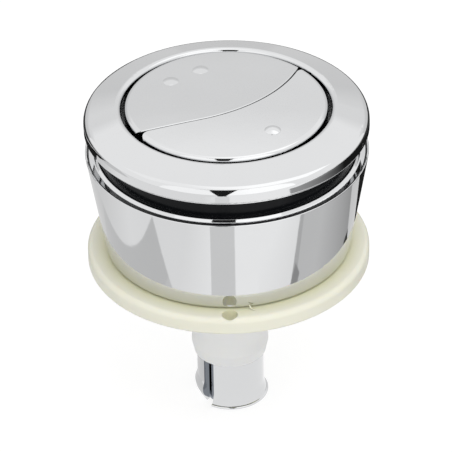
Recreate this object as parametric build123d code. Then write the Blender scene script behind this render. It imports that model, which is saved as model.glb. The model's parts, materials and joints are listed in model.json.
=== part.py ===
from build123d import *
import math
import os

# Dual flush push button for a cistern lid. The lid is gripped between the cup's base and the flange nut.
# Z is the plunger axis, the cup's base is at zero, and the viewer stands on the minus Y side.
# All lengths are in millimetres and all angles in degrees.

# Bezel ring
bezel_r = 37.22
bezel_width = 9.82
bezel_top = 42.6
bezel_drop = 3.2
bezel_height = 7.6
bezel_edge = 2.3
bezel_roll = 1.2
bezel_lip = 2.3
bezel_bead = 0.55
bezel_hem = 0.6
bezel_step = 0.75
bezel_roof = 4.3
bezel_skirt = 3.28

# Buttons
button_gap = 0.95
button_drop = 0.15
button_crown = 0.7
button_round = 1.3
tip_edge = 1.7
blunt_tip = 2.2
split_gap = 0.3
split_radius = 39.0
split_angle = 17.2
split_sweep = 60.0
split_start = (-6.5, -8.2)
split_round = 0.25
travel = 8.0
dot_r = 2.15
full_dot_rise = 0.5
half_dot_rise = 0.85
full_dot_insets = [8.57, 9.03]
full_dot_angles = [143.1, 112.1]
half_dot_insets = [8.29]
half_dot_angles = [310.5]

# Cup
ledge_z = 29.35
ledge_width = 3.16
gutter_depth = 1.05
gutter_fall = 0.15
gutter_round = 0.5
rim_drop = 0.45
gutter_rim = 0.5
gutter_slope = 0.95
gutter_bank = 0.4
cup_taper = 4.82
cup_base_edge = 1.4
shoulder_drop = 9.45
shoulder_step = 1.0

# Flange nut
nut_overhang = 0.17
nut_height = 4.65
nut_round = 1.4
nut_foot = 0.6
nut_roof = 2.3
nut_hub = 3.2
nut_rim = 1.2
nut_rib = 1.6
nut_ribs = 12
nut_rib_turn = 15.0
nut_travel = 9.0
spanner_r = 2.1
spanner_edge = 2.5

# Spigot and guide
spigot_r = 20.0
spigot_over = 0.9
spigot_wall = 2.2
thread_depth = 0.7
insert_z = 8.0
guide_wall = 1.4
guide_rise = 1.0
guide_rib = 1.4
guide_ribs = 6
guide_rib_turn = 10.0
collar_end = -34.6
collar_lip = 0.35
collar_bulge = 1.05
collar_waist = 0.85
collar_bulge_z = 3.2
collar_waist_z = 6.4
collar_height = 11.5

# Plungers
sleeve_r = 8.95
sleeve_end = -48.5
sleeve_flare = 1.15
sleeve_flare_z = 3.4
sleeve_sweep = 5.0
sleeve_step = 0.45
sleeve_bead = 0.8
sleeve_lip = 0.7
sleeve_toe = 0.5
sleeve_rise = 0.5
slot_width = 3.4
slot_azimuths = [-42.0, -117.0]
slot_top = -30.0
plunger_r = 6.6
plunger_over = 0.8
rod_r = 4.0
rod_depth = 20.0
core_step = 1.0

# Carriers
plate_sink = 1.5
plate_thick = 2.5
post_inset = 5.55
post_r = 1.5
post_reach = 7.5
full_post_angle = 130.1
half_post_angle = 310.1
lap_height = 7.0
lap_wall = 1.05
lap_cover = 0.9
arm_angle = 318.0
arm_width = 10.0
arm_margin = 2.35
arm_thick = 3.0
riser_thick = 2.0
pin_length = 10.0

# Screws and springs
cap_screw_r = 0.95
cap_screw_reach = 2.8
cap_head_r = 2.0
cap_boss_r = 2.4
cap_screw_inset = 7.5
full_screw_angles = [186.2, 81.0]
half_screw_angles = [264.0, 3.0]
insert_screw_shank = 1.1
insert_head_r = 2.4
insert_screw_angles = [40.0, 160.0, 280.0]
head_height = 1.5
head_round = 0.6
recess_width = 0.5
recess_depth = 0.6
wire_r = 0.4
spring_turns = 10

# Clearances
run_gap = 0.3
hole_gap = 0.4
seat_gap = 0.1
slip_gap = 0.05
end_gap = 0.5
press_gap = 1.0
spring_gap = 0.2

# Wall thicknesses
wall = 2.0
skirt = 1.8
floor = 1.8
sleeve_wall = 1.7
neck_wall = 2.4
bush_wall = 0.8
seat_wall = 0.9
blend = 0.4

# Guide for the buttons inside the bezel
button_sleeve = 9.4
lip_height = 1.7
lip_reach = 0.95
lip_root = 0.6
web_thick = 2.0

# Radii that follow from them
opening_r = bezel_r - bezel_width
sleeve_out = opening_r + sleeve_wall
button_r = opening_r - button_gap
ledge_in = bezel_r - bezel_skirt
ledge_out = ledge_in + ledge_width
cup_base_r = ledge_out - cup_taper
nut_r = ledge_out + nut_overhang
shoulder_r = ledge_in - shoulder_step
neck_r = ledge_in - seat_gap
low_r = cup_base_r - wall - run_gap
root_r = spigot_r - thread_depth
well_r = root_r - spigot_wall - seat_gap
flange_r = low_r - wall - run_gap
insert_screw_inset = insert_head_r + spring_gap
spanner_pitch_r = nut_r - spanner_edge
nut_bore = spigot_r + run_gap
guide_bore = sleeve_r + run_gap
guide_r = guide_bore + guide_wall
sleeve_in = plunger_r + hole_gap
core_r = rod_r - core_step
bush_r = post_r + run_gap + bush_wall
spring_r = bush_r + wire_r + spring_gap
arm_reach = sleeve_r + arm_margin

# Heights that follow from them
bezel_bottom = bezel_top - bezel_height
sleeve_top = bezel_top - bezel_lip
neck_top = bezel_top - bezel_roof
sleeve_wall_end = bezel_top - button_sleeve
button_edge = bezel_top - button_drop
skirt_z = sleeve_wall_end - lip_height
plate_z = skirt_z + plate_sink
plate_top = plate_z + plate_thick
shoulder_z = ledge_z - shoulder_drop
spigot_end = -(nut_height + nut_travel + spigot_over)
insert_top = insert_z + wall
guide_top = insert_top + guide_rise
well_z = spigot_end + spigot_wall / 4
arm_z = guide_top + travel + press_gap
lap_z = arm_z
stop_z = plate_z - travel - end_gap
plunger_end = sleeve_end - plunger_over


def cylinder(r, z0, z1, at=(0, 0)):
    return Pos(at[0], at[1], z0) * extrude(Circle(r), z1 - z0)


def tube(r0, r1, z0, z1, at=(0, 0)):
    return cylinder(r1, z0, z1, at) - cylinder(r0, z0, z1, at)


def corner_arc(p, q, s, radius):
    # start, middle and end of the rounding at q between p and s
    a = (Vector(*p) - Vector(*q)).normalized()
    b = (Vector(*s) - Vector(*q)).normalized()
    half = math.acos(max(-1.0, min(1.0, a.dot(b)))) / 2
    reach = radius / math.tan(half)
    centre = Vector(*q) + (a + b).normalized() * (radius / math.sin(half))
    middle = centre - (a + b).normalized() * radius
    return Vector(*q) + a * reach, middle, Vector(*q) + b * reach


def lathe(corners):
    # closed profile of (radius, height, rounding) turned about the axis
    lines = Curve()
    count = len(corners)
    spots = []
    for i in range(count):
        p, q, s = corners[i - 1], corners[i], corners[(i + 1) % count]
        if q[2]:
            spots.append(corner_arc(p[:2], q[:2], s[:2], q[2]))
        else:
            spots.append((Vector(*q[:2]),))
    for i in range(count):
        here, there = spots[i], spots[(i + 1) % count]
        if len(here) == 3:
            lines += ThreePointArc(*here)
        lines += Line(here[-1], there[0])
    return revolve(Plane.XZ * make_face(lines), Axis.Z)


def split_side(shift, back):
    # half of the plan on one side of the split line, moved back from it by shift
    side = 1 if back else -1
    slope = math.radians(split_angle)
    along = Vector(math.cos(slope), math.sin(slope))
    across = Vector(-math.sin(slope), math.cos(slope))
    centre = Vector(*split_start) + across * split_radius
    radius = split_radius - side * shift
    far = 2 * bezel_r

    def on_arc(turn):
        angle = slope - math.pi / 2 + math.radians(turn)
        return centre + Vector(math.cos(angle), math.sin(angle)) * radius

    begin, middle, end = on_arc(0), on_arc(split_sweep / 2), on_arc(split_sweep)
    start = begin - along * far
    if back:
        rest = [end, end + Vector(0, far), start + Vector(0, far), start]
    else:
        rest = [end, end + Vector(far, 0), end + Vector(far, -2 * far), start + Vector(0, -2 * far), start]
    return make_face(Curve() + [Line(start, begin), ThreePointArc(begin, middle, end), Polyline(*rest)])


def plan(back, inset):
    return split_side(split_gap / 2 + inset, back) & Circle(button_r - inset)


def slab(face, z0, z1):
    return Pos(0, 0, z0) * extrude(face, z1 - z0)


def compass(azimuth):
    # plan direction of an azimuth counted from the front, positive to the right
    turn = math.radians(azimuth)
    return Vector(math.sin(turn), -math.cos(turn))


def place(inset, angle, radius):
    turn = math.radians(angle)
    return (radius - inset) * math.cos(turn), (radius - inset) * math.sin(turn)


full_post = place(post_inset, full_post_angle, button_r)
half_post = place(post_inset, half_post_angle, button_r)
full_dots = [place(inset, angle, button_r) for inset, angle in zip(full_dot_insets, full_dot_angles)]
half_dots = [place(inset, angle, button_r) for inset, angle in zip(half_dot_insets, half_dot_angles)]
full_screw_at = [place(cap_screw_inset, angle, button_r) for angle in full_screw_angles]
half_screw_at = [place(cap_screw_inset, angle, button_r) for angle in half_screw_angles]
insert_screw_at = [place(insert_screw_inset, angle, flange_r) for angle in insert_screw_angles]


def bezel_ring():
    # crowned ring that caps the inner body, with a rolled inner edge and a skirt
    skirt_in = ledge_in - slip_gap
    return lathe([
        (opening_r, sleeve_top, seat_gap),
        (opening_r, bezel_top, bezel_roll),
        (bezel_r, bezel_top - bezel_drop, bezel_edge),
        (bezel_r, bezel_bottom + bezel_bead, bezel_hem),
        (bezel_r - bezel_step, bezel_bottom + bezel_bead, seat_gap),
        (bezel_r - bezel_step, bezel_bottom, spring_gap),
        (skirt_in, bezel_bottom, spring_gap),
        (skirt_in, neck_top, 0),
        (sleeve_out + slip_gap, neck_top, 0),
        (sleeve_out + slip_gap, sleeve_top, 0),
    ])


def housing_cup():
    # tapered cup whose rim carries a gutter under the bezel
    spigot_hole = spigot_r + hole_gap
    return lathe([
        (ledge_in, ledge_z, spring_gap),
        (ledge_in + gutter_slope, ledge_z - gutter_depth, gutter_round),
        (ledge_out - gutter_rim - gutter_bank, ledge_z - gutter_depth - gutter_fall, spring_gap),
        (ledge_out - gutter_rim, ledge_z - rim_drop, seat_gap),
        (ledge_out, ledge_z - rim_drop, spring_gap),
        (cup_base_r, 0.0, cup_base_edge),
        (spigot_hole, 0.0, 0),
        (spigot_hole, floor, 0),
        (cup_base_r - wall, floor, 0),
        (shoulder_r, shoulder_z, 0),
        (ledge_in, shoulder_z, 0),
    ])


def inner_body():
    # neck, button sleeve and threaded spigot in one moulding
    neck_in = neck_r - neck_wall
    low_top = shoulder_r - run_gap
    spigot_in = root_r - spigot_wall
    plug_r = spigot_r + hole_gap - seat_gap
    shell = lathe([
        (neck_r, neck_top, 0),
        (sleeve_out, neck_top, 0),
        (sleeve_out, sleeve_top - slip_gap, 0),
        (opening_r, sleeve_top - slip_gap, 0),
        (opening_r, sleeve_wall_end, seat_gap),
        (sleeve_out, sleeve_wall_end, seat_gap),
        (sleeve_out, neck_top - web_thick, blend),
        (neck_in, neck_top - web_thick, blend),
        (neck_in, shoulder_z + wall, 0),
        (low_top - wall, shoulder_z + wall, 0),
        (low_r - wall, floor + wall, 0),
        (spigot_r + wall, floor + wall, 0),
        (spigot_r + wall, insert_z, 0),
        (spigot_in, insert_z, 0),
        (spigot_in, spigot_end, seat_gap),
        (root_r, spigot_end, thread_depth),
        (root_r, 0.0, 0),
        (plug_r, 0.0, 0),
        (plug_r, floor, 0),
        (low_r, floor, 0),
        (low_top, shoulder_z, 0),
        (neck_r, shoulder_z, 0),
    ])
    for spot in insert_screw_at:
        shell += cylinder(insert_head_r + spring_gap, floor + wall, insert_z, spot)
    for spot in insert_screw_at:
        shell -= cylinder(insert_screw_shank + slip_gap, floor + wall / 2, insert_z, spot)
    return shell


def guide_insert():
    # flanged well in the spigot, with the guide tube and collar in its floor
    body = lathe([
        (flange_r, insert_z, spring_gap),
        (flange_r, insert_top, spring_gap),
        (well_r - wall, insert_top, blend),
        (well_r - wall, well_z + wall, blend),
        (guide_r, well_z + wall, blend),
        (guide_r, guide_top, spring_gap),
        (guide_bore, guide_top, blend),
        (guide_bore, collar_end, 0),
        (guide_bore + collar_lip, collar_end, seat_gap),
        (guide_bore + collar_bulge, collar_end + collar_bulge_z, collar_bulge_z / 2),
        (guide_bore + collar_waist, collar_end + collar_waist_z, collar_bulge_z),
        (guide_r, collar_end + collar_height, collar_bulge_z),
        (guide_r, well_z, blend),
        (well_r, well_z, blend),
        (well_r, insert_z, 0),
    ])
    rib_reach = well_r - wall - guide_r
    rib_low = well_z + wall - blend
    rib_high = insert_top - 2 * wall
    middle = Pos(guide_r + rib_reach / 2, 0, (rib_low + rib_high) / 2)
    rib = middle * Box(rib_reach + blend, guide_rib, rib_high - rib_low)
    for i in range(guide_ribs):
        body += Rot(0, 0, guide_rib_turn + i * 360 / guide_ribs) * rib
    for post in (full_post, half_post):
        seat_r = spring_r + wire_r + run_gap
        body += cylinder(bush_r, insert_top, stop_z, post)
        body += tube(seat_r, seat_r + seat_wall, insert_top, insert_top + plate_sink, post)
    for post in (full_post, half_post):
        body -= cylinder(post_r + run_gap, insert_z, stop_z, post)
    for spot in insert_screw_at:
        body -= cylinder(insert_screw_shank + hole_gap, insert_z, insert_top, spot)
    return body


def pan_screw(head_r, head_z, shank_r, tip_z, spot):
    # pan head with a cross recess, shank running from the head to the tip
    up = 1 if head_z > tip_z else -1
    crown_z = head_z + up * head_height
    head = cylinder(head_r, min(head_z, crown_z), max(head_z, crown_z), spot)
    rims = head.edges().filter_by(GeomType.CIRCLE).sort_by(Axis.Z)
    head = fillet(rims[-1] if up > 0 else rims[0], head_round)
    recess = Box(head_r, recess_width, 2 * recess_depth) + Box(recess_width, head_r, 2 * recess_depth)
    head -= Pos(spot[0], spot[1], crown_z) * recess
    return head + cylinder(shank_r, min(head_z, tip_z), max(head_z, tip_z), spot)


def insert_screws():
    tip_z = floor + wall / 2 + spring_gap
    shank = insert_screw_shank
    return Compound([pan_screw(insert_head_r, insert_top, shank, tip_z, spot) for spot in insert_screw_at])


def cap_screws(places):
    tip_z = plate_top + cap_screw_reach
    return Compound([pan_screw(cap_head_r, plate_z, cap_screw_r, tip_z, spot) for spot in places])


def flange_nut():
    # ribbed nut with a broad flange and two holes for a pin spanner
    low = -nut_height
    nut = lathe([
        (nut_bore, 0.0, 0),
        (nut_r, 0.0, nut_round),
        (nut_r, low, nut_foot),
        (nut_bore, low, 0),
    ])
    hub_r = nut_bore + nut_hub
    rim_r = spanner_pitch_r - spanner_r - nut_rim
    nut -= tube(hub_r, rim_r, low, -nut_roof)
    middle = Pos((hub_r + rim_r) / 2, 0, (low - nut_roof) / 2)
    rib = middle * Box(rim_r - hub_r + blend, nut_rib, nut_height - nut_roof)
    for i in range(nut_ribs):
        nut += Rot(0, 0, nut_rib_turn + i * 360 / nut_ribs) * rib
    for side in (-1, 1):
        nut -= cylinder(spanner_r, low, nut_roof, (0, side * spanner_pitch_r))
    return nut


def button(back, dots, dot_rise, screws):
    # crowned cap with a skirt, and a lip that the sleeve holds down
    top = button_edge + button_crown
    sphere_r = (button_r ** 2 + button_crown ** 2) / (2 * button_crown)
    outline = split_side(split_gap / 2, back) & Circle(button_r + slip_gap)
    cap = slab(outline, skirt_z, top + press_gap)
    upright = cap.edges().filter_by(Axis.Z).sort_by(Axis.X)
    cap = fillet(upright[0], tip_edge if back else blunt_tip)
    upright = cap.edges().filter_by(Axis.Z).sort_by(Axis.X)
    cap = fillet(upright[-1], tip_edge)
    cap &= Pos(0, 0, top - sphere_r) * Sphere(sphere_r)
    cap = fillet(cap.faces().sort_by(Axis.Z)[-1].edges(), split_round)
    rim_rise = button_r * button_r / (sphere_r - button_crown)
    cap &= lathe([
        (0.0, skirt_z, 0),
        (button_r, skirt_z, 0),
        (button_r, button_edge, button_round),
        (0.0, button_edge + rim_rise, 0),
    ])
    cap -= slab(plan(back, skirt), skirt_z, button_edge - wall)
    lip = split_side(split_gap / 2, back) & (Circle(opening_r + lip_reach) - Circle(button_r - lip_root))
    cap += slab(lip, skirt_z, sleeve_wall_end)
    dome_r = (dot_r ** 2 + dot_rise ** 2) / (2 * dot_rise)
    for x, y in dots:
        face_z = top - (x * x + y * y) / (2 * sphere_r)
        dome = Pos(x, y, face_z + dot_rise - dome_r) * Sphere(dome_r)
        cap += dome & cylinder(dot_r, face_z - wall / 2, top + wall, (x, y))
    for spot in screws:
        cap += cylinder(cap_boss_r, plate_top, button_edge - wall + spring_gap, spot)
        cap -= cylinder(cap_screw_r + slip_gap, plate_top, plate_top + cap_screw_reach + hole_gap, spot)
    return cap


def carrier_plate(back, post, screws):
    plate = slab(plan(back, skirt + seat_gap), plate_z, plate_top)
    for spot in screws:
        plate -= cylinder(cap_screw_r + hole_gap, plate_z, plate_top, spot)
    return plate + cylinder(post_r, stop_z - post_reach, plate_z, post)


def full_flush_carrier():
    # plate under the cap with a curved leg that laps the sleeve's upper end
    region = plan(True, skirt + seat_gap)
    outer = Circle(sleeve_r + lap_cover)
    leg = slab(region & (outer - Circle(sleeve_in)), lap_z + lap_height, plate_z)
    lap = slab(region & (outer - Circle(sleeve_in + lap_wall + slip_gap)), lap_z, lap_z + lap_height)
    return carrier_plate(True, full_post, full_screw_at) + leg + lap


def half_flush_carrier():
    # plate under the cap, a riser beside the sleeve and an arm across to the plunger's top
    arm = Pos(arm_reach / 2, 0, arm_z + arm_thick / 2) * Box(arm_reach, arm_width, arm_thick)
    rise = plate_z - arm_z
    riser = Pos(arm_reach - riser_thick / 2, 0, arm_z + rise / 2) * Box(riser_thick, arm_width, rise)
    brace = Pos(arm_reach - arm_thick / 2, 0, plate_z - arm_thick / 2) * Box(arm_thick, arm_width, arm_thick)
    turned = Rot(0, 0, arm_angle) * (arm + riser + brace)
    hub = cylinder(plunger_r, arm_z, arm_z + arm_thick)
    pin = cylinder(core_r - slip_gap, arm_z - pin_length, arm_z)
    return carrier_plate(False, half_post, half_screw_at) + turned + hub + pin


def slot_cut(azimuth):
    way = compass(azimuth)
    tall = slot_top - plunger_end + wall
    block = Pos(sleeve_r, 0, slot_top - tall / 2) * Box(sleeve_r, slot_width, tall)
    return Rot(0, 0, math.degrees(math.atan2(way.Y, way.X))) * block


def finger_sector():
    # wedge in plan between the two slots
    low, high = slot_azimuths[1], slot_azimuths[0]
    rays = [compass(low + (high - low) * i / 4) * (2 * sleeve_r) for i in range(5)]
    return make_face(Polyline(Vector(0, 0), *rays, close=True))


def outer_plunger():
    # split sleeve with a flared foot and one springy finger between the slots
    top = guide_top + sleeve_rise
    foot = sleeve_flare_z
    bead_r = (sleeve_bead - seat_gap) / 2
    sleeve = lathe([
        (sleeve_in, top, 0),
        (sleeve_r, top, 0),
        (sleeve_r, sleeve_end + foot, sleeve_sweep),
        (sleeve_r + sleeve_flare - sleeve_step, sleeve_end + sleeve_bead, seat_gap),
        (sleeve_r + sleeve_flare, sleeve_end + sleeve_bead, bead_r),
        (sleeve_r + sleeve_flare, sleeve_end, bead_r),
        (sleeve_in + core_step, sleeve_end, 0),
        (sleeve_in, sleeve_end + core_step, 0),
    ])
    finger = lathe([
        (sleeve_in, slot_top, 0),
        (sleeve_r, slot_top, 0),
        (sleeve_r, sleeve_end + foot + 4 * sleeve_lip, 2 * sleeve_toe),
        (sleeve_r + sleeve_lip, sleeve_end + foot + sleeve_lip, sleeve_toe),
        (sleeve_r + sleeve_toe, sleeve_end + foot - sleeve_lip, 2 * sleeve_toe),
        (sleeve_r - lap_cover, sleeve_end - hole_gap, spring_gap),
        (sleeve_in, sleeve_end - hole_gap, 0),
    ])
    wedge = slab(finger_sector(), plunger_end - wall, slot_top)
    tongue = plan(True, skirt + seat_gap)
    sleeve = sleeve - wedge + (finger & wedge)
    for azimuth in slot_azimuths:
        sleeve -= slot_cut(azimuth)
    thick = tongue & (Circle(sleeve_r) - Circle(sleeve_in))
    thin = tongue & (Circle(sleeve_in + lap_wall) - Circle(sleeve_in))
    return sleeve + slab(thick, top, lap_z) + slab(thin, lap_z, lap_z + lap_height - slip_gap)


def inner_plunger():
    # tube that takes the flush valve's rod in its lower end
    step = plunger_end + rod_depth
    return lathe([
        (core_r, arm_z, 0),
        (plunger_r, arm_z, 0),
        (plunger_r, plunger_end, sleeve_toe),
        (rod_r, plunger_end, run_gap),
        (rod_r, step, 0),
        (core_r, step, 0),
    ])


def return_spring(post):
    low = insert_top + wire_r
    high = plate_z - wire_r
    path = Helix(pitch=(high - low) / spring_turns, height=high - low, radius=spring_r)
    section = Plane(path @ 0, z_dir=path % 0) * Circle(wire_r)
    return Pos(post[0], post[1], low) * sweep(section, path=path, is_frenet=True)


pieces = {
    "bezel_ring": bezel_ring(),
    "housing_cup": housing_cup(),
    "inner_body": inner_body(),
    "guide_insert": guide_insert(),
    "insert_screws": insert_screws(),
    "flange_nut": flange_nut(),
    "full_flush_button": button(True, full_dots, full_dot_rise, full_screw_at),
    "full_flush_carrier": full_flush_carrier(),
    "full_flush_screws": cap_screws(full_screw_at),
    "full_flush_spring": return_spring(full_post),
    "outer_plunger": outer_plunger(),
    "half_flush_button": button(False, half_dots, half_dot_rise, half_screw_at),
    "half_flush_carrier": half_flush_carrier(),
    "half_flush_screws": cap_screws(half_screw_at),
    "half_flush_spring": return_spring(half_post),
    "inner_plunger": inner_plunger(),
}

os.makedirs("parts", exist_ok=True)
for name, shape in pieces.items():
    export_step(shape, f"parts/{name}.step")
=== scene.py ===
import json
import math
from typing import NamedTuple

import bmesh
import bpy
from bpy.props import FloatProperty, FloatVectorProperty, IntProperty, PointerProperty
from bpy.types import Operator, Panel, PropertyGroup
from mathutils import Matrix, Vector


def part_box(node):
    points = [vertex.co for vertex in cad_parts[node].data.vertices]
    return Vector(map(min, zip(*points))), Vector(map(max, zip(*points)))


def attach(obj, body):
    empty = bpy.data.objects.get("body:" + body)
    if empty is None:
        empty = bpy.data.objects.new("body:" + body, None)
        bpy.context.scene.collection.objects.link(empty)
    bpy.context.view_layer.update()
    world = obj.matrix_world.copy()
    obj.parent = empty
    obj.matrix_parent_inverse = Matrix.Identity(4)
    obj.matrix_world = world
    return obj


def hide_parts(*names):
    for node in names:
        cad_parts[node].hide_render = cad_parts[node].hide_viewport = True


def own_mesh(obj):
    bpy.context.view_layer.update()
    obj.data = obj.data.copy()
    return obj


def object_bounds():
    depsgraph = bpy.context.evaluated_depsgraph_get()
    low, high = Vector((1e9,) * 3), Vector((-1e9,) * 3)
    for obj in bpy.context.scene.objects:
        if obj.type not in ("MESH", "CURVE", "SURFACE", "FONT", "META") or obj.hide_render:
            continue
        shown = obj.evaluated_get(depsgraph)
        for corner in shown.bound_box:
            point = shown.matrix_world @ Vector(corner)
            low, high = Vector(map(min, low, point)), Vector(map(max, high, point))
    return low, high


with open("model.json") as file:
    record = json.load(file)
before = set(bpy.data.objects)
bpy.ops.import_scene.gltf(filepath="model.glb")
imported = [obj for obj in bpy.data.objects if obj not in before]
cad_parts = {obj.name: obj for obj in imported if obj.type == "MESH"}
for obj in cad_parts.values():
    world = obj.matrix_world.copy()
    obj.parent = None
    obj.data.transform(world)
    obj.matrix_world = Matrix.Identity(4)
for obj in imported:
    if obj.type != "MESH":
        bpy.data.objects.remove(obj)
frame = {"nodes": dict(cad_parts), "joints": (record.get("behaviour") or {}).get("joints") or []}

cad_low, cad_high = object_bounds()

bl_info = {
    "name": "Cistern Push Button",
    "version": (1, 0, 0),
    "blender": (4, 5, 0),
    "location": "3D View > Sidebar > Cistern",
    "description": "Dresses a dual flush push button: plating, plastics, springs, thread and studio",
    "category": "Object",
}

MM = 0.001
WHITE = (1.0, 1.0, 1.0)
MERGE_DISTANCE = 1e-7

# Camera, fitted to the rims in the photograph
CAMERA_TILT = math.radians(32.06)
CAMERA_ROLL = math.radians(-1.0)
SENSOR_WIDTH = 36.0
FOCAL_PX = 4280.0
TARGET_HEIGHT = 41.9 * MM
TARGET_RISE_PX = 120.7
TARGET_SIDE_PX = 0.16


class ButtonFinish(PropertyGroup):
    """Colours and gloss of the button's finishes"""

    plating: FloatVectorProperty(
        name="Plating", description="Colour that bright plating reflects", subtype="COLOR",
        size=3, min=0.0, max=1.0, default=(0.68, 0.685, 0.692))
    plating_roughness: FloatProperty(
        name="Plating roughness", description="Blur of the plating's reflections",
        min=0.0, max=1.0, subtype="FACTOR", default=0.05)
    plunger: FloatVectorProperty(
        name="Plunger plating", description="Colour that the inner plunger's darker plating reflects",
        subtype="COLOR", size=3, min=0.0, max=1.0, default=(0.26, 0.28, 0.31))
    black: FloatVectorProperty(
        name="Black plastic", description="Colour of the inner body", subtype="COLOR",
        size=3, min=0.0, max=1.0, default=(0.0045, 0.005, 0.006))
    cream: FloatVectorProperty(
        name="Cream plastic", description="Colour of the flange nut", subtype="COLOR",
        size=3, min=0.0, max=1.0, default=(0.81, 0.80, 0.68))
    # Painted shade, not yellowing: this darker, yellower cream stands in for the shade where the cup blocks
    # the light from the nut beside its base
    cream_contact_shade: FloatVectorProperty(
        name="Cream corner", description="Colour of the flange nut where it has painted_shade beside the cup",
        subtype="COLOR", size=3, min=0.0, max=1.0, default=(0.73, 0.72, 0.50))
    white: FloatVectorProperty(
        name="White plastic", description="Colour of the guide and carriers", subtype="COLOR",
        size=3, min=0.0, max=1.0, default=(0.91, 0.91, 0.90))
    steel: FloatVectorProperty(
        name="Steel", description="Colour of screws and springs", subtype="COLOR",
        size=3, min=0.0, max=1.0, default=(0.55, 0.55, 0.56))


class ButtonShape(PropertyGroup):
    """Sizes of the pieces that are added to the solids"""

    thread_pitch: FloatProperty(
        name="Thread pitch", description="Rise of the spigot's thread in one turn",
        unit="LENGTH", default=3.0 * MM)
    thread_root: FloatProperty(
        name="Thread root", description="Radius at the bottom of the thread",
        unit="LENGTH", default=19.25 * MM)
    thread_crest: FloatProperty(
        name="Thread crest", description="Radius at the top of the thread",
        unit="LENGTH", default=20.0 * MM)
    coil_radius: FloatProperty(
        name="Coil radius", description="Radius of the springs at the wire's middle",
        unit="LENGTH", default=3.2 * MM)
    wire_radius: FloatProperty(
        name="Wire radius", description="Radius of the springs' wire",
        unit="LENGTH", default=0.4 * MM)
    flash_width: FloatProperty(
        name="Flash width", description="Width of the curl of flash on the nut",
        unit="LENGTH", default=0.32 * MM)
    coil_turns: IntProperty(
        name="Coil turns", description="Turns in each spring", min=4, max=20, default=10)


class ButtonStage(PropertyGroup):
    """Studio around the button"""

    floor: FloatVectorProperty(
        name="Floor", description="Colour of the floor", subtype="COLOR",
        size=3, min=0.0, max=1.0, default=(0.93, 0.93, 0.93))
    lamp_power: FloatProperty(
        name="Lamp power", description="Power of the overhead lamp", unit="POWER", default=2.0)
    fill_power: FloatProperty(
        name="Fill power", description="Power of the low lamp in front", unit="POWER", default=0.8)
    sky: FloatProperty(
        name="Sky", description="Strength of the soft light from all round", min=0.0, default=0.76)
    distance: FloatProperty(
        name="Camera distance", description="From the bezel's middle to the camera",
        unit="LENGTH", default=1110.0 * MM)
    lens: FloatProperty(
        name="Lens", description="Focal length on a 36 mm wide sensor", unit="CAMERA", default=340.9)


class Value:
    """A socket that carries a number, with arithmetic that adds Math nodes"""

    def __init__(self, graph, socket):
        self.graph = graph
        self.socket = socket

    def _math(self, operation, other):
        made = self.graph.add("ShaderNodeMath", {"operation": operation}, {0: self, 1: other})
        return made.value(0)

    def __add__(self, other):
        return self._math("ADD", other)

    def __sub__(self, other):
        return self._math("SUBTRACT", other)

    def __mul__(self, other):
        return self._math("MULTIPLY", other)

    def __truediv__(self, other):
        return self._math("DIVIDE", other)


class Made:
    """A node that was added to a graph"""

    def __init__(self, graph, node):
        self.graph = graph
        self.node = node

    def value(self, name):
        return Value(self.graph, self.node.outputs[name])


class Graph:
    """Node tree of one material or of the world"""

    def __init__(self, owner):
        owner.use_nodes = True
        self.tree = owner.node_tree
        self.tree.nodes.clear()

    def add(self, kind, settings=None, inputs=None):
        node = self.tree.nodes.new(kind)
        for name, setting in (settings or {}).items():
            setattr(node, name, setting)
        for name, given in (inputs or {}).items():
            if isinstance(given, Value):
                self.tree.links.new(given.socket, node.inputs[name])
            else:
                node.inputs[name].default_value = given
        return Made(self, node)


def rgba(colour, level=1.0):
    """Colour at a level, with full alpha"""
    return (colour[0] * level, colour[1] * level, colour[2] * level, 1.0)


def noise(graph, scale, detail, stretch=(1.0, 1.0, 1.0)):
    """Noise from 0 to 1 on the object's own coordinates"""
    place = graph.add("ShaderNodeTexCoord").value("Object")
    turned = graph.add("ShaderNodeMapping", None, {"Vector": place, "Scale": stretch}).value("Vector")
    made = graph.add("ShaderNodeTexNoise", None, {"Vector": turned, "Scale": scale, "Detail": detail})
    return made.value("Fac")


def blend(graph, mask, low, high):
    """Colour between low and high by the mask"""
    mask_input, low_input, high_input, colour_output = 0, 6, 7, 2
    made = graph.add("ShaderNodeMix", {"data_type": "RGBA"}, {
        mask_input: mask, low_input: low, high_input: high})
    return made.value(colour_output)


def ring_mask(graph, radius, fade):
    """Rises from 0 at a radius about the upright axis to 1 over the fade"""
    place = graph.add("ShaderNodeTexCoord").value("Object")
    flat = graph.add("ShaderNodeVectorMath", {"operation": "MULTIPLY"}, {0: place, 1: (1.0, 1.0, 0.0)})
    away = graph.add("ShaderNodeVectorMath", {"operation": "LENGTH"}, {0: flat.value("Vector")})
    share = (away.value("Value") - radius) / fade
    return graph.add("ShaderNodeClamp", None, {0: share}).value(0)


def surface(graph, made):
    """Makes a shader node the material's surface"""
    graph.add("ShaderNodeOutputMaterial", None, {"Surface": made.value(0)})


def bright_plating(name, tint, gloss, ripple, level):
    """Bright plating over moulded plastic: mirror gloss, faint ripple and a little wiping haze"""
    tint_spread = 0.02
    haze_blur = 0.03
    peel_depth = 0.05 * MM
    material = bpy.data.materials.new(name)
    graph = Graph(material)
    haze = noise(graph, scale=90.0, detail=4.0)
    peel = noise(graph, scale=420.0, detail=2.0)
    # The level scales the plating's colour: above 1 it is painted light, below 1 painted shade
    colour = blend(graph, haze, rgba(tint, (1 - tint_spread) * level), rgba(tint, (1 + tint_spread) * level))
    roughness = haze * haze_blur + (gloss - haze_blur / 2)
    bump = graph.add("ShaderNodeBump", None, {"Strength": ripple, "Distance": peel_depth, "Height": peel})
    surface(graph, graph.add("ShaderNodeBsdfPrincipled", None, {
        "Base Color": colour, "Metallic": 1.0, "Roughness": roughness, "Normal": bump.value("Normal")}))
    return material


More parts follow.
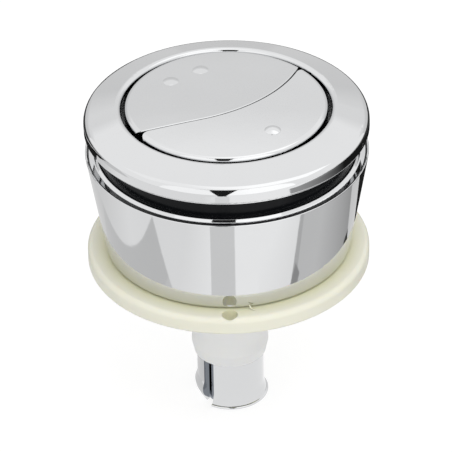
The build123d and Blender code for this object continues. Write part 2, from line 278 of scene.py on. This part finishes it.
def moulded_plastic(name, low, high, gloss, sheen, grain, depth, glow, corner=None, shade_radius=0.0, fade=1.0):
    """Injection moulded plastic: slow shifts of colour, fine grain and a little light inside"""
    grain_blur = 0.12
    grain_strength = 0.25
    glow_depth = 1.5 * MM
    material = bpy.data.materials.new(name)
    graph = Graph(material)
    flow = noise(graph, scale=55.0, detail=3.0, stretch=(1.0, 1.0, 2.2))
    fine = noise(graph, scale=grain, detail=2.0)
    colour = blend(graph, flow, low, high)
    # Optional painted shade: the corner colour fills the radius and fades out over the fade, for shade where
    # another part blocks the light
    if corner is not None:
        colour = blend(graph, ring_mask(graph, shade_radius, fade), corner, colour)
    roughness = fine * grain_blur + (gloss - grain_blur / 2)
    bump = graph.add("ShaderNodeBump", None, {"Strength": grain_strength, "Distance": depth, "Height": fine})
    surface(graph, graph.add("ShaderNodeBsdfPrincipled", None, {
        "Base Color": colour, "Roughness": roughness, "Normal": bump.value("Normal"),
        "Specular IOR Level": sheen, "Subsurface Weight": glow,
        "Subsurface Radius": (1.0, 0.85, 0.55), "Subsurface Scale": glow_depth}))
    return material


def drawn_steel(name, tint):
    """Steel of the springs' wire and the screws, with fine level lines"""
    tint_spread = 0.1
    smoothest = 0.2
    line_blur = 0.2
    material = bpy.data.materials.new(name)
    graph = Graph(material)
    lines = noise(graph, scale=300.0, detail=3.0, stretch=(1.0, 1.0, 6.0))
    colour = blend(graph, lines, rgba(tint, 1 - tint_spread), rgba(tint, 1 + tint_spread))
    surface(graph, graph.add("ShaderNodeBsdfPrincipled", None, {
        "Base Color": colour, "Metallic": 1.0, "Roughness": lines * line_blur + smoothest}))
    return material


def put_on(material, *nodes):
    """Gives CAD nodes one material"""
    for name in nodes:
        mesh = frame["nodes"][name].data
        mesh.materials.clear()
        mesh.materials.append(material)


def new_piece(name, body, material, bm, smooth=True):
    """Object from a closed mesh that rides on a body"""
    bmesh.ops.remove_doubles(bm, verts=bm.verts, dist=MERGE_DISTANCE)
    bmesh.ops.recalc_face_normals(bm, faces=bm.faces)
    mesh = bpy.data.meshes.new(name)
    for face in bm.faces:
        face.smooth = smooth
    bm.to_mesh(mesh)
    bm.free()
    mesh.materials.append(material)
    piece = bpy.data.objects.new(name, mesh)
    bpy.context.scene.collection.objects.link(piece)
    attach(piece, body)
    return piece


def helix(outline, turns, pitch, steps_per_turn, centre):
    """Closed outline in the XZ plane wound about a vertical axis, with flat ends"""
    bm = bmesh.new()
    start = bm.faces.new([bm.verts.new(point) for point in outline])
    steps = int(turns * steps_per_turn)
    made = bmesh.ops.spin(
        bm, geom=list(start.edges), cent=centre, axis=(0, 0, 1), angle=2 * math.pi * steps / steps_per_turn,
        dvec=(0, 0, pitch / steps_per_turn), steps=steps, use_merge=False)
    last = [part for part in made["geom_last"] if isinstance(part, bmesh.types.BMEdge)]
    bmesh.ops.contextual_create(bm, geom=last)
    return bm


class CISTERN_OT_plating(Operator):
    """Gives the bezel, cup, buttons and plungers their bright plating"""

    bl_idname = "cistern.plating"
    bl_label = "Bright plating"

    def execute(self, context):
        finish = context.scene.button_finish
        bright = finish.plating
        # The last column is painted light and shade: one plating made darker on the full button and brighter
        # on the bezel and half button, for how the studio lights each part
        for node, name, tint, ripple, level in (
                ("bezel_ring", "bezel_plating", bright, 0.10, 1.02),
                ("housing_cup", "cup_plating", bright, 0.06, 1.0),
                ("full_flush_button", "full_button_plating", bright, 0.10, 0.97),
                ("half_flush_button", "half_button_plating", bright, 0.10, 1.04),
                ("outer_plunger", "sleeve_plating", bright, 0.14, 1.0),
                ("inner_plunger", "plunger_plating", finish.plunger, 0.14, 1.0)):
            put_on(bright_plating(name, tint, finish.plating_roughness, ripple, level), node)
        return {"FINISHED"}


class CISTERN_OT_plastics(Operator):
    """Gives the inner body, nut, guide and carriers their moulded plastics"""

    bl_idname = "cistern.plastics"
    bl_label = "Moulded plastics"

    def execute(self, context):
        finish = context.scene.button_finish
        cup_base = 32.3 * MM
        black = moulded_plastic(
            "black_abs", rgba(finish.black, 0.8), rgba(finish.black, 1.3),
            gloss=0.16, sheen=0.12, grain=900.0, depth=0.01 * MM, glow=0.0)
        # The cream's corner colour is painted shade on the nut beside the cup's base, where the cup blocks
        # the light; it fades out over 3.6 mm
        cream = moulded_plastic(
            "cream_abs", rgba(finish.cream, 0.97), rgba(finish.cream, 1.03),
            gloss=0.38, sheen=0.55, grain=1100.0, depth=0.02 * MM, glow=0.35,
            corner=rgba(finish.cream_contact_shade), shade_radius=cup_base, fade=3.6 * MM)
        white = moulded_plastic(
            "white_abs", rgba(finish.white, 0.97), rgba(finish.white, 1.03),
            gloss=0.36, sheen=0.5, grain=1000.0, depth=0.02 * MM, glow=0.2)
        put_on(black, "inner_body")
        put_on(cream, "flange_nut")
        put_on(white, "guide_insert", "full_flush_carrier", "half_flush_carrier")
        return {"FINISHED"}


class CISTERN_OT_springs(Operator):
    """Winds the return springs and finishes the screws"""

    bl_idname = "cistern.springs"
    bl_label = "Springs and screws"

    def execute(self, context):
        shape = context.scene.button_shape
        wire = shape.wire_radius
        wire_sides = 10
        steps_per_turn = 28
        angles = [2 * math.pi * i / wire_sides for i in range(wire_sides)]
        steel = drawn_steel("spring_steel", context.scene.button_finish.steel)
        put_on(steel, "insert_screws", "full_flush_screws", "half_flush_screws")
        for name in ("full_flush", "half_flush"):
            low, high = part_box(name + "_spring")
            middle = (low + high) / 2
            wire_x = middle.x + shape.coil_radius
            wire_z = low.z + wire
            ring = [(wire_x + wire * math.cos(a), middle.y, wire_z + wire * math.sin(a)) for a in angles]
            pitch = (high.z - low.z - 2 * wire) / shape.coil_turns
            bm = helix(ring, shape.coil_turns, pitch, steps_per_turn, (middle.x, middle.y, 0))
            coil = new_piece(name + "_coil", "housing", steel, bm)
            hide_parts(name + "_spring")
            joint = next(j for j in frame["joints"] if j["name"] == name + "_press")
            keep = 1.0 - joint["range_m"][1] / (high.z - low.z)
            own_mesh(coil)
        return {"FINISHED"}


class CISTERN_OT_thread(Operator):
    """Winds the thread that the flange nut runs on"""

    bl_idname = "cistern.thread"
    bl_label = "Spigot thread"

    def execute(self, context):
        shape = context.scene.button_shape
        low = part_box("inner_body")[0]
        pitch = shape.thread_pitch
        lead_in = 0.7 * MM
        top = -0.6 * MM
        crest_start = 0.22 * pitch
        crest_end = 0.45 * pitch
        ridge_end = 0.67 * pitch
        ridge_room = 0.75 * pitch
        steps_per_turn = 72
        base = low.z + lead_in
        turns = (top - base - ridge_room) / pitch
        outline = [
            (shape.thread_root, 0, base),
            (shape.thread_crest, 0, base + crest_start),
            (shape.thread_crest, 0, base + crest_end),
            (shape.thread_root, 0, base + ridge_end),
        ]
        bm = helix(outline, turns, pitch, steps_per_turn, (0, 0, 0))
        black = bpy.data.materials["black_abs"]
        new_piece("spigot_thread", "housing", black, bm, smooth=False)
        return {"FINISHED"}


class CISTERN_OT_flash(Operator):
    """Leaves the curl of moulding flash that stands on the nut beside the cup"""

    bl_idname = "cistern.flash"
    bl_label = "Moulding flash"

    def execute(self, context):
        shape = context.scene.button_shape
        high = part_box("flange_nut")[1]
        tip_place = (5.15 * MM, -32.75 * MM, high.z + 1.48 * MM)
        steps = 8
        bm = bmesh.new()
        bmesh.ops.create_grid(bm, x_segments=1, y_segments=1, size=shape.flash_width / 2)
        bmesh.ops.translate(bm, verts=bm.verts, vec=tip_place)
        end = list(bm.faces)
        for i in range(steps):
            made = bmesh.ops.extrude_face_region(bm, geom=end)
            if i > 0:
                bmesh.ops.delete(bm, geom=end, context="FACES_ONLY")
            end = [part for part in made["geom"] if isinstance(part, bmesh.types.BMFace)]
            corners = [part for part in made["geom"] if isinstance(part, bmesh.types.BMVert)]
            slide = self.curl((i + 1) / steps) - self.curl(i / steps)
            bmesh.ops.translate(bm, verts=corners, vec=slide)
        new_piece("nut_flash", "lid_nut", bpy.data.materials["cream_abs"], bm)
        return {"FINISHED"}

    def curl(self, share):
        """Point on the curl, from its tip at 0 down to the nut at 1"""
        reach = 1.35 * share ** 1.4
        lean = -0.35 * share
        height = 1.50 * (1 - share) ** 1.2
        return Vector((reach, lean, height)) * MM


class Ramp(NamedTuple):
    """Level of a sheet that runs from near at start to far at end along an axis, in mm"""

    near: float
    far: float
    axis: str
    start: float
    end: float


def metres(point):
    """Point given in mm, in metres"""
    return [along * MM for along in point]


def sheet_shader(graph, level):
    """Plain glow at one level, or one that follows a Ramp"""
    if not isinstance(level, Ramp):
        return graph.add("ShaderNodeEmission", None, {"Color": rgba(WHITE, level), "Strength": 1.0})
    start = level.start * MM
    end = level.end * MM
    place = graph.add("ShaderNodeTexCoord").value("Object")
    along = graph.add("ShaderNodeSeparateXYZ", None, {0: place}).value(level.axis)
    share = graph.add("ShaderNodeMath", {"operation": "MULTIPLY", "use_clamp": True}, {
        0: along - start, 1: 1.0 / (end - start)})
    near = graph.add("ShaderNodeEmission", None, {"Color": rgba(WHITE, level.near), "Strength": 1.0})
    far = graph.add("ShaderNodeEmission", None, {"Color": rgba(WHITE, level.far), "Strength": 1.0})
    return graph.add("ShaderNodeMixShader", None, {0: share.value(0), 1: near.value(0), 2: far.value(0)})


def panel(name, corners, level):
    """Flat sheet of the studio, corners in mm, that shows only in reflections"""
    bm = bmesh.new()
    bm.faces.new([bm.verts.new(metres(corner)) for corner in corners])
    mesh = bpy.data.meshes.new(name)
    bm.to_mesh(mesh)
    bm.free()
    material = bpy.data.materials.new(name)
    graph = Graph(material)
    surface(graph, sheet_shader(graph, level))
    mesh.materials.append(material)
    sheet = bpy.data.objects.new(name, mesh)
    bpy.context.scene.collection.objects.link(sheet)
    sheet.visible_camera = False
    sheet.visible_diffuse = False
    sheet.visible_shadow = False
    sheet.visible_transmission = False


def wall(name, x0, x1, y, z0, z1, level):
    """Upright panel that faces along Y"""
    panel(name, [(x0, y, z0), (x1, y, z0), (x1, y, z1), (x0, y, z1)], level)


def floor_panel(name, corners, lift, level):
    """Panel lying a little above the floor, by its corners"""
    z = cad_low.z / MM + lift
    panel(name, [(x, y, z) for x, y in corners], level)


def floor_sheet(name, x0, y0, x1, y1, lift, level):
    """Square-cornered sheet lying a little above the floor"""
    floor_panel(name, [(x0, y0), (x1, y0), (x1, y1), (x0, y1)], lift, level)


def lamp(name, place, target, size, power):
    """Round soft lamp aimed at a target, in mm, that doesn't show in reflections"""
    spot = Vector(metres(place))
    data = bpy.data.lights.new(name, "AREA")
    data.shape = "DISK"
    data.size = size * MM
    data.energy = power
    lamp_object = bpy.data.objects.new(name, data)
    lamp_object.location = spot
    lamp_object.rotation_euler = (Vector(metres(target)) - spot).to_track_quat("-Z", "Y").to_euler()
    lamp_object.visible_glossy = False
    bpy.context.scene.collection.objects.link(lamp_object)


class CISTERN_OT_stage(Operator):
    """Sets the floor, reflecting panels, lamps and camera"""

    bl_idname = "cistern.stage"
    bl_label = "Studio"

    def execute(self, context):
        stage = context.scene.button_stage
        self.lay_floor(context, stage)
        self.lay_sheets()
        self.hang_panels()
        lamp("overhead", place=(120, -350, 750), target=(0, 0, 0), size=500, power=stage.lamp_power)
        lamp("front_fill", place=(0, -800, 120), target=(0, 0, -20), size=600, power=stage.fill_power)
        self.set_sky(context, stage)
        self.aim_camera(context, stage)
        context.scene.view_settings.view_transform = "Standard"
        return {"FINISHED"}

    def lay_floor(self, context, stage):
        """Floor that the camera sees white with a shadow, and that plating mirrors as pale grey"""
        half_width = 3.0
        shadow_share = 0.25
        seen_glow = 0.84
        mirrored_glow = 0.72
        bounce_share = 0.8
        bm = bmesh.new()
        bmesh.ops.create_grid(bm, x_segments=1, y_segments=1, size=half_width)
        bmesh.ops.translate(bm, verts=bm.verts, vec=(0, 0, cad_low.z))
        mesh = bpy.data.meshes.new("floor")
        bm.to_mesh(mesh)
        bm.free()
        material = bpy.data.materials.new("floor")
        graph = Graph(material)
        rays = graph.add("ShaderNodeLightPath")
        shaded = graph.add("ShaderNodeBsdfDiffuse", None, {"Color": rgba(stage.floor, shadow_share)})
        lift = graph.add("ShaderNodeEmission", None, {"Color": rgba(WHITE), "Strength": seen_glow})
        seen = graph.add("ShaderNodeAddShader", None, {0: shaded.value(0), 1: lift.value(0)})
        grey = graph.add("ShaderNodeEmission", None, {"Color": rgba(WHITE), "Strength": mirrored_glow})
        plain = graph.add("ShaderNodeBsdfDiffuse", None, {"Color": rgba(stage.floor, bounce_share)})
        unseen = graph.add("ShaderNodeMixShader", None, {
            0: rays.value("Is Glossy Ray"), 1: plain.value(0), 2: grey.value(0)})
        surface(graph, graph.add("ShaderNodeMixShader", None, {
            0: rays.value("Is Camera Ray"), 1: unseen.value(0), 2: seen.value(0)}))
        mesh.materials.append(material)
        floor = bpy.data.objects.new("floor", mesh)
        context.scene.collection.objects.link(floor)

    def lay_sheets(self):
        """Pale and grey sheets that the cup, bezel and sleeve mirror from the floor, in mm"""
        floor_panel("front_sheet", [(-1600, -1600), (1600, -1600), (1600, -44.5), (-1600, -55)], 0.40,
                    Ramp(0.96, 1.12, "X", -50, -10))
        floor_sheet("front_right_sheet", 30, -75, 118, -45, 0.45, Ramp(1.12, 1.02, "Y", -75, -52))
        floor_panel("front_fold", [(-30.3, -130), (9.5, -130), (5.6, -60), (-15.7, -60)], 0.50, 0.80)
        floor_panel("stand_shade", [(-33, -290), (2, -290), (4, -130), (-24.5, -130)], 0.50, 0.92)
        floor_panel("stand_foot", [(-80, -600), (-8, -600), (-4, -290), (-36, -290)], 0.50, 0.015)
        floor_sheet("left_sheet", -200, -51, -85.5, 70, 0.45, Ramp(0.97, 0.76, "Y", -10, 55))
        floor_sheet("left_shade", -85.5, -52, -60, 55, 0.35, 0.67)
        floor_panel("left_end", [(-600, 70), (-90, 70), (-62, 105), (-62, 140)], 0.40, 0.015)
        floor_panel("right_shade", [(55, -40), (118, -60.5), (118, 47), (65, 47)], 0.47,
                    Ramp(0.67, 0.39, "Y", -20, 45))
        floor_panel("right_fold", [(50, -43.7), (118, -66), (118, -60), (50, -37.8)], 0.50, 0.55)
        floor_sheet("right_wedge", 55, -46.5, 66.5, -39.5, 0.55, 0.34)
        floor_sheet("right_mark", 64, 37.5, 74, 47.5, 0.55, 0.05)
        floor_sheet("right_flag", 41, 72, 118, 140, 0.40, 0.015)
        floor_sheet("right_end", 118, -130, 600, 140, 0.60, Ramp(0.38, 0.012, "Y", -100, 20))
        floor_sheet("back_end", -600, 140, 600, 900, 0.40, 0.05)
        floor_sheet("foot_shade", -35, -4, -8, 30, 0.50, 0.75)
        radius = 73
        sides = 48
        angles = [2 * math.pi * i / sides for i in range(sides)]
        floor_panel("under_sheet", [(radius * math.cos(a), radius * math.sin(a)) for a in angles], 0.30, 1.0)

    def hang_panels(self):
        """Walls, ceiling and the dark camera stand that the plating mirrors, in mm"""
        wall("back_wall", -2500, 2500, 2000, -50, 1060, Ramp(0.77, 0.93, "Z", 600, 1060))
        wall("back_screen", -2500, 2500, 2000, 1060, 1620, Ramp(0.93, 1.08, "Z", 1340, 1600))
        panel("ceiling", [(-2000, -620, 1900), (2000, -620, 1900), (2000, 500, 1900), (-2000, 500, 1900)],
              Ramp(1.15, 1.42, "X", -500, 300))
        wall("front_wall", -2000, 2000, -1600, -50, 3600, Ramp(1.25, 1.42, "X", -300, 500))
        stand = [(-80, -50), (-8, -50), (10, 120), (106, 980),
                 (300, 1080), (-420, 1080), (-198, 980), (-98, 120)]
        panel("camera_stand", [(x, -600, z) for x, z in stand], 0.015)

    def set_sky(self, context, stage):
        """Soft light from all round, which the camera and plating see as white"""
        shown_strength = 1.08
        world = bpy.data.worlds.new("studio")
        context.scene.world = world
        graph = Graph(world)
        rays = graph.add("ShaderNodeLightPath")
        shown = rays.value("Is Camera Ray") + rays.value("Is Glossy Ray") + rays.value("Is Transmission Ray")
        soft = graph.add("ShaderNodeBackground", None, {"Color": rgba(WHITE), "Strength": stage.sky})
        white = graph.add("ShaderNodeBackground", None, {"Color": rgba(WHITE), "Strength": shown_strength})
        mixed = graph.add("ShaderNodeMixShader", None, {0: shown, 1: soft.value(0), 2: white.value(0)})
        graph.add("ShaderNodeOutputWorld", None, {"Surface": mixed.value(0)})

    def aim_camera(self, context, stage):
        """Camera that sees the bezel's middle at its place in the photograph"""
        target = Vector((0, 0, TARGET_HEIGHT))
        back = Vector((0, -math.cos(CAMERA_TILT), math.sin(CAMERA_TILT)))
        data = bpy.data.cameras.new("camera")
        data.lens = stage.lens
        data.sensor_width = SENSOR_WIDTH
        data.clip_start = 0.05
        data.clip_end = 20.0
        camera = bpy.data.objects.new("camera", data)
        context.scene.collection.objects.link(camera)
        drop = math.atan(TARGET_RISE_PX / FOCAL_PX)
        side_px = TARGET_SIDE_PX - TARGET_RISE_PX * math.sin(CAMERA_ROLL)
        yaw = side_px / (FOCAL_PX * math.cos(CAMERA_TILT + drop))
        turn = Matrix.Rotation(math.pi / 2 - CAMERA_TILT - drop, 4, "X")
        roll = Matrix.Rotation(CAMERA_ROLL, 4, "Z")
        sway = Matrix.Rotation(yaw, 4, "Z")
        camera.matrix_world = Matrix.Translation(target + back * stage.distance) @ sway @ turn @ roll
        context.scene.camera = camera


class CISTERN_PT_panel(Panel):
    """Sizes, colours and steps of the push button"""

    bl_idname = "CISTERN_PT_panel"
    bl_label = "Cistern Push Button"
    bl_space_type = "VIEW_3D"
    bl_region_type = "UI"
    bl_category = "Cistern"

    def draw(self, context):
        for group in (context.scene.button_finish, context.scene.button_shape, context.scene.button_stage):
            box = self.layout.box()
            for name in group.bl_rna.properties.keys():
                if name not in {"rna_type", "name"}:
                    box.prop(group, name)
        for step in STEPS:
            self.layout.operator(step.bl_idname)


GROUPS = (ButtonFinish, ButtonShape, ButtonStage)
STEPS = (CISTERN_OT_plating, CISTERN_OT_plastics, CISTERN_OT_springs, CISTERN_OT_thread, CISTERN_OT_flash,
         CISTERN_OT_stage)


def register():
    for item in (*GROUPS, *STEPS, CISTERN_PT_panel):
        bpy.utils.register_class(item)
    bpy.types.Scene.button_finish = PointerProperty(type=ButtonFinish)
    bpy.types.Scene.button_shape = PointerProperty(type=ButtonShape)
    bpy.types.Scene.button_stage = PointerProperty(type=ButtonStage)


def unregister():
    del bpy.types.Scene.button_stage
    del bpy.types.Scene.button_shape
    del bpy.types.Scene.button_finish
    for item in (CISTERN_PT_panel, *reversed(STEPS), *reversed(GROUPS)):
        bpy.utils.unregister_class(item)


def main():
    register()
    bpy.ops.cistern.plating()
    bpy.ops.cistern.plastics()
    bpy.ops.cistern.springs()
    bpy.ops.cistern.thread()
    bpy.ops.cistern.flash()
    bpy.ops.cistern.stage()


if __name__ == "__main__":
    main()
